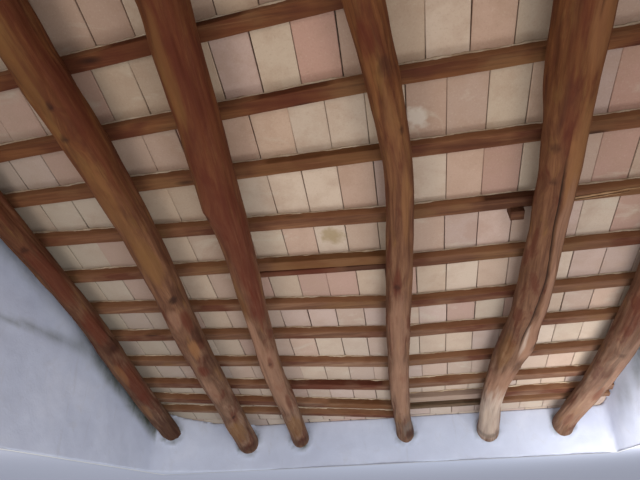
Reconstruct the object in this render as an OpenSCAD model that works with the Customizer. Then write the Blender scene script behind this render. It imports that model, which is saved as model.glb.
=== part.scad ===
// Log-beam and brick roof of a one-room adobe house, on the heads of its four walls.
// X runs along the battens, +Y points down the slope to the low wall, +Z is up.
// The walls are cut level just under the low ends of the logs, and stand on that cut.
// The origin is the middle of the footprint, at the height of the cut.

/* [Room] */
// Clear width between the side walls
clear_w = 3050; // [2950:10:3250]
// Clear length of the ceiling, measured down the slope
slope_len = 4500; // [4350:10:4650]
// Pitch of the roof in degrees
pitch = 18; // [15:1:21]
// Thickness of the adobe walls
wall_t = 400; // [350:10:500]
// Height of the low wall's head, from the cut to the brick underside
low_head_h = 300; // [285:5:400]
// How far the left wall leans into the room at the low wall
left_lean = 30; // [0:5:60]
// Length of the left wall's leaning stretch
left_lean_len = 2000; // [1500:50:2500]
// Reach of the thick left corner along the low wall
corner_w = 800; // [600:10:850]
// Reach of the thick left corner along the left wall
corner_d = 300; // [200:10:320]
// Radius of the rounded outer corners
outer_corner_r = 70; // [30:5:120]

/* [Logs] */
// Length of each log end that is built into a wall
log_bearing = 250; // [180:10:260]
// Scale of every log's diameter, 1 as in this room
log_scale = 1; // [0.9:0.01:1.02]
// Depth of the flat hewn on top of each log
hewn_d = 4; // [2:1:8]
// How far a log is out of round, as a share of its radius
log_oval = 0.03; // [0:0.005:0.04]
// Room for mud around the top of a log end in its wall pocket
pocket_gap = 5; // [4:1:15]

/* [Battens] */
// Width of a batten
batten_w = 57; // [45:1:65]
// Depth of a batten
batten_d = 44; // [35:1:48]
// Width of the thin batten and of the doubling piece
thin_w = 34; // [25:1:38]
// Gap between the two lengths of a batten, over the fourth log
butt_gap = 3; // [1:0.5:8]

/* [Deck] */
// Thickness of the ceiling bricks
brick_t = 30; // [25:1:40]
// Joint between two courses of bricks
brick_joint = 4; // [2:1:10]
// Thickness of the mortar bed above the bricks
mortar_t = 40; // [30:1:60]
// How far the bricks stand out past the low wall at the eave
eave_out = 120; // [60:5:180]
// How far the bricks stand out past the side walls
verge_out = 20; // [0:5:40]

/* [Tiles] */
// How far the roof tiles reach past the bricks at the eave
tile_drip = 50; // [20:5:80]
// Number of columns of cover tiles
tile_columns = 16; // [15:1:17]
// Outer radius of a tile
tile_r = 85; // [78:1:88]
// Thickness of a tile
tile_t = 14; // [10:1:18]
// Height of the cover tiles' feet above the mortar bed
cover_lift = 22; // [18:1:26]
// Angle of the channel tile's side above its lowest point, in degrees
channel_reach = 58; // [54:1:60]

/* [Hidden] */

// Where each log runs, as a share of the clear width from the middle of the room
log_home = [-0.5, -0.3, -0.16, 0.07, 0.28, 0.5];
// How far each log bends from that line, and its diameter, at even stations up the slope
log_bend = [
  [100, 100, 104, 117, 108, 85, 80, 82, 85, 90, 90],
  [-3, -3, 0, 8, 35, 43, 25, -5, -20, -30, -30],
  [-50, -42, -52, -24, 10, 32, 58, 83, 96, 103, 103],
  [-13, -25, -13, 8, 37, 55, 15, -45, -68, -70, -70],
  [-98, -95, -46, 14, 26, 20, 0, -8, -4, 4, 4],
  [-280, -190, -133, -107, -102, -102, -105, -110, -113, -115, -115]
];
log_d = [
  [130, 132, 134, 127, 122, 128, 134, 140, 144, 148, 150],
  [150, 158, 158, 162, 156, 166, 178, 184, 190, 194, 196],
  [124, 134, 130, 132, 152, 174, 170, 178, 186, 190, 194],
  [124, 124, 130, 134, 129, 118, 130, 144, 154, 160, 165],
  [148, 138, 172, 170, 158, 163, 178, 190, 200, 206, 210],
  [138, 144, 160, 168, 174, 178, 182, 186, 190, 194, 196]
];
// Swellings at knots: share of the ceiling's length, angle around the log, height
log_knots = [
  [[0.28, 250, 7], [0.46, 300, 8], [0.76, 240, 7]],
  [[0.20, 300, 6], [0.40, 235, 9], [0.59, 285, 8], [0.82, 250, 9]],
  [[0.32, 290, 7], [0.48, 230, 9], [0.78, 270, 9]],
  [[0.24, 300, 6], [0.44, 250, 7], [0.61, 275, 8], [0.87, 260, 8]],
  [[0.23, 320, 14], [0.28, 225, 8], [0.56, 270, 8], [0.80, 250, 10]],
  [[0.20, 250, 7], [0.38, 230, 9], [0.67, 280, 9]]
];
knot_len = 95;
knot_angle = 34;
log_sides = 20;
log_ring_gap = 175;
// Straight end of the logs at the high wall, and the stretch over which swellings start
log_straight = 100;
round_end = 420;
round_blend = 200;

// Up-slope edge of each batten in brick lengths from the low wall: at the left wall, at the left
// and the right of the joint over the fourth log, and at the right wall
ceiling_courses = 15;
batten_rows = [
  [1.35, 0.30, 0.68, 0.73], [1.87, 0.77, 1.06, 1.08], [2.48, 1.62, 1.68, 1.73], [3.33, 2.53, 2.53, 2.62],
  [4.18, 3.55, 3.52, 3.58], [5.03, 4.43, 4.39, 4.50], [5.85, 5.57, 5.43, 5.47], [6.73, 6.47, 6.47, 6.50],
  [7.52, 7.59, 7.57, 7.63], [8.27, 8.61, 8.63, 8.77], [9.17, 9.63, 9.65, 9.77], [10.17, 10.63, 10.62, 10.73],
  [11.20, 11.60, 11.63, 11.67], [12.27, 12.62, 12.58, 12.63], [13.37, 13.60, 13.62, 13.60],
  [14.47, 14.58, 14.57, 14.58]
];
thin_row = 0;
doubled_row = 6;
joint_log = 3;

// Clearances where pieces meet
seat_gap = 0.3;
end_gap = 6;

outer_w = clear_w + 2 * wall_t;
roof_w = outer_w + 2 * verge_out;
roof_half = roof_w / 2;
clear_len = slope_len * cos(pitch);
brick_len = slope_len / ceiling_courses;
log_step = (slope_len - log_straight) / (len(log_d[0]) - 1);
wall_s = wall_t / cos(pitch);
low_end_s = -wall_s - eave_out;
high_end_s = slope_len + wall_s;
tile_end_s = low_end_s - tile_drip;
tile_z = brick_t + mortar_t;
tile_top = tile_z + cover_lift + tile_r;
tile_pitch = (roof_w - 2 * tile_r) / (tile_columns - 1);
far_y = -tile_end_s * cos(pitch) + tile_top * sin(pitch);
near_y = -high_end_s * cos(pitch);
low_face_y = -(far_y + near_y) / 2;
high_face_y = low_face_y - clear_len;
room_half = clear_w / 2;

// Height of the brick underside above the cut, at a place along Y
function brick_z(y) = low_head_h + (low_face_y - y) * tan(pitch);

// Smooth curve through evenly spaced stations, flat outside them
function station(list, i) = list[max(0, min(len(list) - 1, i))];
function blend(a, b, c, d, t) =
  b + 0.5 * t * (c - a + t * (2 * a - 5 * b + 4 * c - d + t * (3 * (b - c) + d - a)));
function along(list, s) =
  let (u = max(0, min(len(list) - 1, s / log_step)), i = min(floor(u), len(list) - 2))
  blend(station(list, i - 1), station(list, i), station(list, i + 1), station(list, i + 2), u - i);
function ease(t) = let (u = max(0, min(1, t))) u * u * (3 - 2 * u);

// Slope frame: origin where the brick underside meets the low wall, +Y down the slope
module on_slope() {
  translate([0, low_face_y, low_head_h])
    rotate([-pitch, 0, 0])
      children();
}

// Axis and radius of log k at s, in the slope frame
function log_x(k, s) = log_home[k] * clear_w + along(log_bend[k], s);
function log_r(k, s) = log_scale * along(log_d[k], s) / 2;
function log_z(k, s) = -batten_d - seat_gap - log_r(k, s) + hewn_d;

// Out of round and swollen at its knots, but round where it is built in
function turn_gap(a, b) = abs((a - b + 540) % 360 - 180);
function free_of_ends(s) =
  ease((s - round_end) / round_blend) * ease((slope_len - log_straight - s) / round_blend);
function knot_swell(k, s, a) =
  max([for (n = log_knots[k])
    n[2] * exp(-pow((s - n[0] * slope_len) / knot_len, 2) - pow(turn_gap(a, n[1]) / knot_angle, 2))]);
function log_skin(k, s, a) =
  log_r(k, s) * (1 + free_of_ends(s) * log_oval * cos(2 * a + 75 * k + s / 30))
  + free_of_ends(s) * knot_swell(k, s, a);

module log_beam(k) {
  crooked = slope_len - log_straight;
  spans = ceil(crooked / log_ring_gap);
  stops = concat([-log_bearing], [for (i = [0:spans]) crooked * i / spans], [slope_len + log_bearing]);
  rings = len(stops) - 1;
  top = -batten_d - seat_gap;
  points = [
    for (s = stops, j = [0:log_sides - 1])
      let (a = 360 * (j + 0.5) / log_sides, r = log_skin(k, s, a))
        [log_x(k, s) + r * cos(a), -s, min(top, log_z(k, s) + r * sin(a))]
  ];
  faces = [
    [for (j = [0:log_sides - 1]) j],
    for (i = [0:rings - 1], j = [0:log_sides - 1])
      let (n = (j + 1) % log_sides, a = i * log_sides)
        [a + n, a + j, a + j + log_sides, a + n + log_sides],
    [for (j = [log_sides - 1:-1:0]) rings * log_sides + j]
  ];
  color("saddlebrown")
    on_slope()
      polyhedron(points, faces, convexity = 4);
}

// Pocket for each log end: the log seats on its bottom, and the rest is room for mud
module log_pockets(at_low) {
  from = at_low ? -log_bearing - seat_gap : slope_len - log_straight;
  to = at_low ? corner_d + wall_t / 4 : slope_len + log_bearing + seat_gap;
  s = at_low ? 0 : slope_len;
  on_slope()
    for (k = [0:len(log_home) - 1])
      translate([log_x(k, s), -from, log_z(k, s) + pocket_gap - seat_gap])
        rotate([90, 0, 0])
          cylinder(r = log_r(k, s) + pocket_gap, h = to - from, $fn = 64);
}

// Everything below the plane of the brick underside, between two places along Y
module under_roof(y0, y1) {
  rotate([90, 0, 90])
    linear_extrude(height = outer_w, center = true)
      polygon([[y0, 0], [y1, 0], [y1, brick_z(y1)], [y0, brick_z(y0)]]);
}

// Plan of an end wall with its two outer corners rounded, seen with the outside towards +Y
module end_wall_plan() {
  r = outer_corner_r;
  translate([-outer_w / 2, 0]) square([outer_w, wall_t - r]);
  translate([-outer_w / 2 + r, 0]) square([outer_w - 2 * r, wall_t]);
  for (side = [-1, 1])
    translate([side * (outer_w / 2 - r), wall_t - r])
      circle(r = r, $fn = 48);
}

// Inner face of the left wall at a place along the slope
function left_face_x(s) = -room_half + left_lean * max(0, 1 - s / left_lean_len);

// Plan of the thick corner: a curve from the low wall round to the left wall
module corner_plan() {
  steps = 8;
  wall_x = left_face_x(corner_d / cos(pitch));
  bend_x = -room_half + left_lean + corner_w / 3;
  function curve(t) = [
    pow(1 - t, 2) * (left_face_x(0) + corner_w) + 2 * t * (1 - t) * bend_x + t * t * wall_x,
    -corner_d * t * t
  ];
  inside = wall_t / 4;
  polygon(concat(
    [for (i = [0:steps]) curve(i / steps)],
    [[left_face_x(0), 0], [left_face_x(0), inside], [left_face_x(0) + corner_w, inside]]
  ));
}

module low_wall() {
  color("gainsboro")
    difference() {
      intersection() {
        under_roof(low_face_y - corner_d, low_face_y + wall_t);
        translate([0, low_face_y, 0])
          union() {
            linear_extrude(height = brick_z(low_face_y - wall_t)) end_wall_plan();
            linear_extrude(height = brick_z(low_face_y - wall_t)) corner_plan();
          }
      }
      log_pockets(true);
    }
}

module high_wall() {
  color("gainsboro")
    difference() {
      intersection() {
        under_roof(high_face_y - wall_t, high_face_y);
        translate([0, high_face_y])
          linear_extrude(height = brick_z(high_face_y - 2 * wall_t))
            mirror([0, 1]) end_wall_plan();
      }
      log_pockets(false);
    }
}

module left_wall() {
  lean_y = low_face_y - left_lean_len * cos(pitch);
  color("gainsboro")
    intersection() {
      under_roof(high_face_y, low_face_y);
      linear_extrude(height = brick_z(high_face_y - wall_t))
        polygon([
          [-outer_w / 2, high_face_y], [-room_half, high_face_y], [-room_half, lean_y],
          [-room_half + left_lean, low_face_y], [-outer_w / 2, low_face_y]
        ]);
    }
}

module right_wall() {
  color("gainsboro")
    intersection() {
      under_roof(high_face_y, low_face_y);
      translate([room_half, high_face_y])
        cube([wall_t, clear_len, brick_z(high_face_y - wall_t)]);
    }
}

// Bar across the room from [x, s] to [x, s], both on its up-slope edge
module cross_bar(a, b, width) {
  on_slope()
    translate([0, 0, -batten_d])
      linear_extrude(height = batten_d)
        polygon([[a[0], -a[1]], [b[0], -b[1]], [b[0], -b[1] + width], [a[0], -a[1] + width]]);
}

// Where row k has its joint over the fourth log, and its up-slope edge at x on either side of it
function joint_x(k) = log_x(joint_log, batten_rows[k][1] * brick_len);
function left_edge(k, x) =
  let (t = (x + room_half) / (joint_x(k) + room_half))
  brick_len * (batten_rows[k][0] * (1 - t) + batten_rows[k][1] * t);
function right_edge(k, x) =
  let (t = (x - joint_x(k)) / (room_half - joint_x(k)))
  brick_len * (batten_rows[k][2] * (1 - t) + batten_rows[k][3] * t);

module batten(k) {
  width = k == thin_row ? thin_w : batten_w;
  left = left_face_x(brick_len * batten_rows[k][0] - width) + end_gap;
  right = room_half - end_gap;
  mid = joint_x(k);
  cut = butt_gap / 2;
  color("sienna") {
    cross_bar([left, left_edge(k, left)], [mid - cut, left_edge(k, mid - cut)], width);
    cross_bar([mid + cut, right_edge(k, mid + cut)], [right, right_edge(k, right)], width);
  }
  if (k == doubled_row) doubling_piece(k);
}

// Short piece beside a batten, from the third log to the joint over the fourth, open at one end
module doubling_piece(k) {
  lap_open = 10;
  lap_shut = 2;
  on_log = 40;
  from = log_x(joint_log - 1, left_edge(k, 0)) - on_log;
  to = joint_x(k) - butt_gap / 2;
  color("sienna")
    cross_bar(
      [from, left_edge(k, from) - batten_w - lap_open],
      [to, left_edge(k, to) - batten_w - lap_shut],
      thin_w
    );
}

// Joint between two courses, over the middle of batten row k, from the left verge to the right one
function course_line(k, shift) =
  let (off = -batten_w / 2 + shift)
  [
    [-roof_half, left_edge(k, -roof_half) + off], [joint_x(k), left_edge(k, joint_x(k)) + off],
    [joint_x(k), right_edge(k, joint_x(k)) + off], [roof_half, right_edge(k, roof_half) + off]
  ];
function end_line(s) = [[-roof_half, s], [roof_half, s]];
function reversed(list) = [for (i = [len(list) - 1:-1:0]) list[i]];

module brick_course(k) {
  last = len(batten_rows) - 1;
  low = k == 0 ? end_line(low_end_s) : course_line(k, brick_joint / 2);
  high = k == last ? end_line(high_end_s) : course_line(k + 1, -brick_joint / 2);
  color("burlywood")
    on_slope()
      linear_extrude(height = brick_t)
        polygon([for (p = concat(low, reversed(high))) [p[0], -p[1]]]);
}

// Profiles of the cover, seen up the slope: X across, Y above the mortar bed's flat
function cover_x(i) = -roof_half + tile_r + i * tile_pitch;
function channel_x(i) = cover_x(i) + tile_pitch / 2;
channel_rim = tile_r * (1 - cos(channel_reach));

module half_disc(r) {
  intersection() {
    circle(r = r, $fn = 48);
    translate([-r, 0]) square([2 * r, r]);
  }
}

module cover_profile() {
  difference() {
    half_disc(tile_r);
    half_disc(tile_r - tile_t);
  }
}

module channel_profile() {
  difference() {
    intersection() {
      translate([0, tile_r]) circle(r = tile_r, $fn = 48);
      translate([-tile_r, 0]) square([2 * tile_r, channel_rim]);
    }
    translate([0, tile_r]) circle(r = tile_r - tile_t, $fn = 48);
  }
}

// Bed under the tiles: flat on the bricks, filled up between the channels and under the covers
module mortar_profile() {
  core_r = tile_r - tile_t - seat_gap;
  difference() {
    union() {
      translate([-roof_half, -mortar_t])
        square([roof_w, mortar_t]);
      translate([-roof_half + tile_t / 2, 0])
        square([roof_w - tile_t, cover_lift - seat_gap]);
      for (i = [0:tile_columns - 1])
        translate([cover_x(i), 0]) {
          translate([-core_r, 0]) square([2 * core_r, cover_lift]);
          translate([0, cover_lift]) half_disc(core_r);
        }
    }
    for (i = [0:tile_columns - 2])
      translate([channel_x(i), 0])
        intersection() {
          translate([0, tile_r]) circle(r = tile_r + seat_gap, $fn = 48);
          translate([-2 * tile_r, -seat_gap]) square([4 * tile_r, channel_rim + 2 * seat_gap]);
        }
  }
}

module mortar_bed() {
  color("tan")
    on_slope()
      translate([0, -low_end_s, tile_z])
        rotate([90, 0, 0])
          linear_extrude(height = high_end_s - low_end_s)
            mortar_profile();
}

module tile_cover() {
  color("peru")
    on_slope()
      translate([0, -tile_end_s, tile_z])
        rotate([90, 0, 0])
          linear_extrude(height = high_end_s - tile_end_s)
            union() {
              for (i = [0:tile_columns - 1])
                translate([cover_x(i), cover_lift]) cover_profile();
              for (i = [0:tile_columns - 2])
                translate([channel_x(i), 0]) channel_profile();
            }
}

// Block under the bricks, against the eighth batten and close to the fifth log
module packing_block() {
  size = [60, 52, 66];
  row = 7;
  beside = 4;
  near_x = log_x(beside, batten_rows[row][2] * brick_len);
  s = right_edge(row, near_x - size[0]) - batten_w - seat_gap;
  x = near_x - log_r(beside, s) * (1 + log_oval) - size[0];
  color("sienna")
    on_slope()
      translate([x, -s, -size[2]])
        cube(size);
}

low_wall();
high_wall();
left_wall();
right_wall();
log_beam(0);  // log_1
log_beam(1);  // log_2
log_beam(2);  // log_3
log_beam(3);  // log_4
log_beam(4);  // log_5
log_beam(5);  // log_6
batten(0);  // batten_01
batten(1);  // batten_02
batten(2);  // batten_03
batten(3);  // batten_04
batten(4);  // batten_05
batten(5);  // batten_06
batten(6);  // batten_07
batten(7);  // batten_08
batten(8);  // batten_09
batten(9);  // batten_10
batten(10);  // batten_11
batten(11);  // batten_12
batten(12);  // batten_13
batten(13);  // batten_14
batten(14);  // batten_15
batten(15);  // batten_16
brick_course(0);  // brick_course_01
brick_course(1);  // brick_course_02
brick_course(2);  // brick_course_03
brick_course(3);  // brick_course_04
brick_course(4);  // brick_course_05
brick_course(5);  // brick_course_06
brick_course(6);  // brick_course_07
brick_course(7);  // brick_course_08
brick_course(8);  // brick_course_09
brick_course(9);  // brick_course_10
brick_course(10);  // brick_course_11
brick_course(11);  // brick_course_12
brick_course(12);  // brick_course_13
brick_course(13);  // brick_course_14
brick_course(14);  // brick_course_15
brick_course(15);  // brick_course_16
mortar_bed();
tile_cover();
packing_block();
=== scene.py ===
import bpy
import bmesh
import math
import random
from mathutils import Matrix, Vector, noise


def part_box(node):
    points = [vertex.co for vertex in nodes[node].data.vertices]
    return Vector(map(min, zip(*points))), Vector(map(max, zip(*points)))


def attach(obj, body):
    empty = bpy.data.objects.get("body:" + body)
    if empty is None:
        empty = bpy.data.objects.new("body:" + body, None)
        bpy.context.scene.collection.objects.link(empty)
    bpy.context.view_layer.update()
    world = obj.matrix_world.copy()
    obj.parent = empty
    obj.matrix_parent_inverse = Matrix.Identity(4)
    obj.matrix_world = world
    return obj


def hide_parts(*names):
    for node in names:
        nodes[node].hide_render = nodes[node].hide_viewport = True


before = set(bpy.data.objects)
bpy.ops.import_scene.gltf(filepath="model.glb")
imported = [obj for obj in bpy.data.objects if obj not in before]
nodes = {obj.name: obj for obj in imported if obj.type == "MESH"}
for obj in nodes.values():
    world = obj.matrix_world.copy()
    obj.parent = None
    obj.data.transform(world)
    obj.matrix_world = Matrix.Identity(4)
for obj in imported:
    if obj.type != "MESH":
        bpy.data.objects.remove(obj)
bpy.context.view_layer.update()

# The roof's own frame: x along the battens, y down the slope, z off the brick underside
roof = {"pitch": 18.0, "clearWidth": 3.05, "battenDepth": 0.044, "brickThickness": 0.03,
        "mortarThickness": 0.04}
pitch = math.radians(roof["pitch"])
wallLow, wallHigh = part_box("right_wall")
lowFaceY = wallHigh[1]
clearLength = (wallHigh[1] - wallLow[1]) / math.cos(pitch)
lowHead = wallHigh[2] - (wallHigh[1] - wallLow[1]) * math.tan(pitch)
slopeFrame = Matrix.Translation((0, lowFaceY, lowHead)) @ Matrix.Rotation(-pitch, 4, "X")
toSlope = slopeFrame.inverted()
roomHalf = roof["clearWidth"] / 2


def smoothStep(value, low, high):
    t = max(0.0, min(1.0, (value - low) / (high - low)))
    return t * t * (3 - 2 * t)


def wave(x, y, z, seed=0.0):
    return noise.noise(Vector((x + 17.3 * seed, y - 9.1 * seed, z + 5.7 * seed)))


def linkMesh(name, bm):
    mesh = bpy.data.meshes.new(name)
    bm.to_mesh(mesh)
    bm.free()
    piece = bpy.data.objects.new(name, mesh)
    bpy.context.scene.collection.objects.link(piece)
    return piece


def addPiece(name, bm, material, replaced=()):
    piece = linkMesh(name, bm)
    piece.data.materials.append(material)
    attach(piece, "root")
    if replaced:
        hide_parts(*replaced)


def joinInto(bm, part):
    mesh = bpy.data.meshes.new("part")
    part.to_mesh(mesh)
    part.free()
    bm.from_mesh(mesh)
    bpy.data.meshes.remove(mesh)


def turnBy(bm, matrix):
    bmesh.ops.transform(bm, matrix=matrix, verts=bm.verts)


def faceOutward(bm):
    bmesh.ops.recalc_face_normals(bm, faces=bm.faces)


def smoothFaces(bm):
    for face in bm.faces:
        face.smooth = True


def cutPlane(bm, place, normal, **settings):
    geometry = bm.verts[:] + bm.edges[:] + bm.faces[:]
    bmesh.ops.bisect_plane(bm, geom=geometry, plane_co=place, plane_no=normal, **settings)


def roundEdges(bm, offset, segments=2):
    bmesh.ops.bevel(bm, geom=bm.edges[:], affect="EDGES", offset=offset, segments=segments, profile=0.5,
                    material=-1)


def openEdges(bm):
    return [edge for edge in bm.edges if edge.is_boundary]


def skinRows(bm, rows):
    # Faces between rows of four corners each, closed at both ends
    for a, b in zip(rows, rows[1:]):
        for j in range(4):
            k = (j + 1) % 4
            bm.faces.new((a[j], a[k], b[k], b[j]))
    bm.faces.new(rows[0])
    bm.faces.new(rows[-1][::-1])


def feed(tree, node, inputs):
    # Gives a node's inputs, by name or number, plain values or the outputs of other nodes
    for key, value in inputs.items():
        if isinstance(value, bpy.types.NodeSocket):
            tree.links.new(value, node.inputs[key])
        else:
            node.inputs[key].default_value = value


def addNode(tree, kind, inputs=None, **settings):
    node = tree.nodes.new(kind)
    for key, value in settings.items():
        setattr(node, key, value)
    feed(tree, node, inputs or {})
    return node


def newMaterial(name, roughness, specular):
    material = bpy.data.materials.new(name)
    material.use_nodes = True
    tree = material.node_tree
    shader = tree.nodes["Principled BSDF"]
    feed(tree, shader, {"Roughness": roughness, "Specular IOR Level": specular})
    return material, tree, shader


def mapped(tree, vector, scale, rotation=(0, 0, 0)):
    inputs = {"Vector": vector, "Scale": scale, "Rotation": rotation}
    return addNode(tree, "ShaderNodeMapping", inputs).outputs["Vector"]


def objectPoint(tree, scale=(1, 1, 1), rotation=(0, 0, 0)):
    return mapped(tree, addNode(tree, "ShaderNodeTexCoord").outputs["Object"], scale, rotation)


def attribute(tree, name, output="Fac"):
    return addNode(tree, "ShaderNodeAttribute", attribute_name=name).outputs[output]


def coordinate(tree, point, axis):
    return addNode(tree, "ShaderNodeSeparateXYZ", {"Vector": point}).outputs[axis]


def noiseValue(tree, point, scale, detail, roughness, distortion=0.0):
    inputs = {"Vector": point, "Scale": scale, "Detail": detail, "Roughness": roughness,
              "Distortion": distortion}
    return addNode(tree, "ShaderNodeTexNoise", inputs).outputs["Fac"]


def remap(tree, value, low, high, outLow=0.0, outHigh=1.0):
    inputs = {"Value": value, "From Min": low, "From Max": high, "To Min": outLow, "To Max": outHigh}
    return addNode(tree, "ShaderNodeMapRange", inputs).outputs["Result"]


def calculate(tree, operation, first, second):
    return addNode(tree, "ShaderNodeMath", {0: first, 1: second}, operation=operation).outputs["Value"]


def addShare(tree, base, extra, share):
    return calculate(tree, "ADD", base, calculate(tree, "MULTIPLY", extra, share))


def shade(red, green, blue):
    def lift(value):
        value = value / 255
        return value / 12.92 if value <= 0.04045 else ((value + 0.055) / 1.055) ** 2.4
    return (lift(red), lift(green), lift(blue), 1.0)


def blendColor(tree, factor, first, second):
    return addNode(tree, "ShaderNodeMix", {0: factor, 6: first, 7: second}, data_type="RGBA").outputs[2]


def layTones(tree, color, layers):
    # Lays tones over a colour, each growing to its full amount as its value goes from low to high
    for value, low, high, amount, tone in layers:
        color = blendColor(tree, remap(tree, value, low, high, 0, amount), color, shade(*tone))
    return color


def colorRamp(tree, value, stops):
    node = addNode(tree, "ShaderNodeValToRGB", {"Fac": value})
    ramp = node.color_ramp
    while len(ramp.elements) < len(stops):
        ramp.elements.new(0.5)
    for element, (place, tone) in zip(ramp.elements, stops):
        element.position = place
        element.color = shade(*tone)
    return node.outputs["Color"]


def paint(tree, shader, color, height, strength, distance):
    bump = addNode(tree, "ShaderNodeBump", {"Height": height, "Strength": strength, "Distance": distance})
    feed(tree, shader, {"Base Color": color, "Normal": bump.outputs["Normal"]})


view = {"place": (0.175, -1.766, -0.304), "yaw": 7.8, "tilt": 28.5, "roll": -2.17, "lens": 28.69}
cameraData = bpy.data.cameras.new("camera")
camera = bpy.data.objects.new("camera", cameraData)
bpy.context.scene.collection.objects.link(camera)
cameraData.lens = view["lens"]
cameraData.sensor_width = 36.0
cameraData.clip_start = 0.01
camera.matrix_world = (Matrix.Translation(view["place"])
                       @ Matrix.Rotation(math.radians(view["yaw"]), 4, "Z")
                       @ Matrix.Rotation(math.radians(90 + view["tilt"]), 4, "X")
                       @ Matrix.Rotation(math.radians(view["roll"]), 4, "Z"))
bpy.context.scene.camera = camera

bpy.context.scene.view_settings.view_transform = "Standard"

worldStrength = 0.60
# Lamps: name, place, aim, size, power, colour
lamps = [
    ("roomLightLeft", (-1.3, -2.0, -0.35), (0.39, 1.2, 0.6), 0.8, 11.5, (1.0, 0.94, 0.86)),
    ("sideLightLeft", (-1.326, -0.1, -0.75), (0.26, 0.3, 0.9), 1.1, 4.0, (1.0, 0.95, 0.88)),
    ("roomLightRight", (1.4, -2.0, -0.35), (-0.42, 1.2, 0.6), 0.8, 11.5, (1.0, 0.94, 0.86)),
    ("sideLightRight", (1.428, -0.1, -0.75), (-0.28, 0.3, 0.9), 1.1, 4.0, (1.0, 0.95, 0.88)),
    ("windowLight", (0.7, 0.7, -1.5), (0.6, 1.6, 0.3), 0.8, 24.0, (0.88, 0.95, 1.0)),
    ("windowGlow", (1.30, 1.35, -0.4), (1.80, 1.65, 0.15), 0.3, 8.0, (1.0, 0.98, 0.94)),
    ("skyLight", (-3.5, 4.5, 6.5), (0, 0, 0.8), 4.0, 420.0, (1, 1, 1)),
]
# Sheets of the floor: name, colour, how far below the roof's cut, how far short of the room's opening
floorSheets = [("floor", (226, 226, 228), 0.0006, 0.0), ("floorUnderside", (184, 188, 206), 0.0016, -0.02)]
floorReach = 9.0


def makeWorld():
    world = bpy.data.worlds.new("studio")
    bpy.context.scene.world = world
    world.use_nodes = True
    tree = world.node_tree
    tree.nodes.clear()
    lit = addNode(tree, "ShaderNodeBackground", {"Color": (0.97, 0.98, 1.0, 1), "Strength": worldStrength})
    seen = addNode(tree, "ShaderNodeBackground", {"Color": (1, 1, 1, 1), "Strength": 1.0})
    path = addNode(tree, "ShaderNodeLightPath")
    either = calculate(tree, "MAXIMUM", path.outputs["Is Camera Ray"], path.outputs["Is Glossy Ray"])
    anyOf = calculate(tree, "MAXIMUM", either, path.outputs["Is Transmission Ray"])
    mix = addNode(tree, "ShaderNodeMixShader", {0: anyOf, 1: lit.outputs[0], 2: seen.outputs[0]})
    addNode(tree, "ShaderNodeOutputWorld", {"Surface": mix.outputs[0]})


def areaLamp(name, place, target, size, power, color):
    data = bpy.data.lights.new(name, "AREA")
    data.shape = "SQUARE"
    data.size = size
    data.energy = power
    data.color = color
    lamp = bpy.data.objects.new(name, data)
    lamp.location = place
    lamp.visible_camera = False
    lamp.rotation_euler = (Vector(target) - Vector(place)).to_track_quat("-Z", "Y").to_euler()
    bpy.context.scene.collection.objects.link(lamp)


def makeFloorSheet(name, tone, drop, lip):
    # A sheet round the room's opening, so that the ceiling is lit and seen from below
    material, tree, shader = newMaterial(name, 0.9, 0.1)
    feed(tree, shader, {"Base Color": shade(*tone)})
    lowY, highY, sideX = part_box("high_wall")[1][1] + lip, lowFaceY - lip, roomHalf - lip
    bm = bmesh.new()
    bmesh.ops.create_grid(bm, x_segments=1, y_segments=1, size=floorReach)
    for x in (-sideX, sideX):
        cutPlane(bm, (x, 0, 0), (1, 0, 0))
    for y in (lowY, highY):
        cutPlane(bm, (0, y, 0), (0, 1, 0))
    middles = [(face, face.calc_center_median()) for face in bm.faces]
    opening = [face for face, middle in middles if abs(middle.x) < sideX and lowY < middle.y < highY]
    bmesh.ops.delete(bm, geom=opening, context="FACES")
    bmesh.ops.translate(bm, verts=bm.verts, vec=(0, 0, -drop))
    floor = linkMesh(name, bm)
    floor.data.materials.append(material)


makeWorld()
for sheet in floorSheets:
    makeFloorSheet(*sheet)
for lamp in lamps:
    areaLamp(*lamp)
print("camera, lamps and floor ready")


# sunk is how far a log's top is let into the battens
logs = {"around": 84, "along": 320, "fissureDepth": 0.0026, "waviness": 0.0018, "dents": 0.009,
        "sunk": 0.0035, "crackWidth": 0.004}
# Knots of each log: metres up the slope, angle round the log, radius, height, darkness
logKnots = {
    1: [(1.25, 330, 0.03, 0.006, 0.6), (2.05, 300, 0.024, 0.004, 0.8), (3.4, 240, 0.035, 0.005, 0.7)],
    2: [(0.475, 304, 0.022, 0.004, 0.9), (1.656, 300, 0.032, 0.007, 1.0),
        (2.595, 268, 0.022, 0.005, 0.9), (2.725, 282, 0.016, 0.003, 1.0), (3.6, 250, 0.03, 0.005, 0.8)],
    3: [(1.02, 286, 0.018, 0.004, 0.6), (2.15, 230, 0.03, 0.006, 0.6), (3.4, 270, 0.028, 0.004, 0.8)],
    4: [(1.58, 256, 0.026, 0.004, 0.8), (2.415, 306, 0.018, 0.005, 0.7), (2.69, 290, 0.028, 0.006, 0.5)],
    5: [(1.05, 318, 0.04, 0.007, 0.5), (2.128, 240, 0.02, 0.004, 0.6), (2.283, 234, 0.026, 0.005, 0.6),
        (3.2, 250, 0.032, 0.005, 0.8)],
    6: [(0.9, 250, 0.024, 0.004, 0.5), (1.7, 230, 0.028, 0.006, 0.8), (2.6, 275, 0.03, 0.004, 0.8)],
}
# The drying crack of each log: path as (metres up the slope, angle), depth
logCracks = {
    1: ([(2.3, 262), (3.1, 255)], 0.007), 2: ([(3.05, 275), (3.5, 268)], 0.008),
    3: ([(3.0, 262), (3.7, 275)], 0.008), 4: ([(2.9, 262), (3.6, 270)], 0.008),
    5: ([(2.7, 285), (3.4, 300)], 0.008), 6: ([(1.9, 262), (2.8, 250)], 0.008),
}
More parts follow.
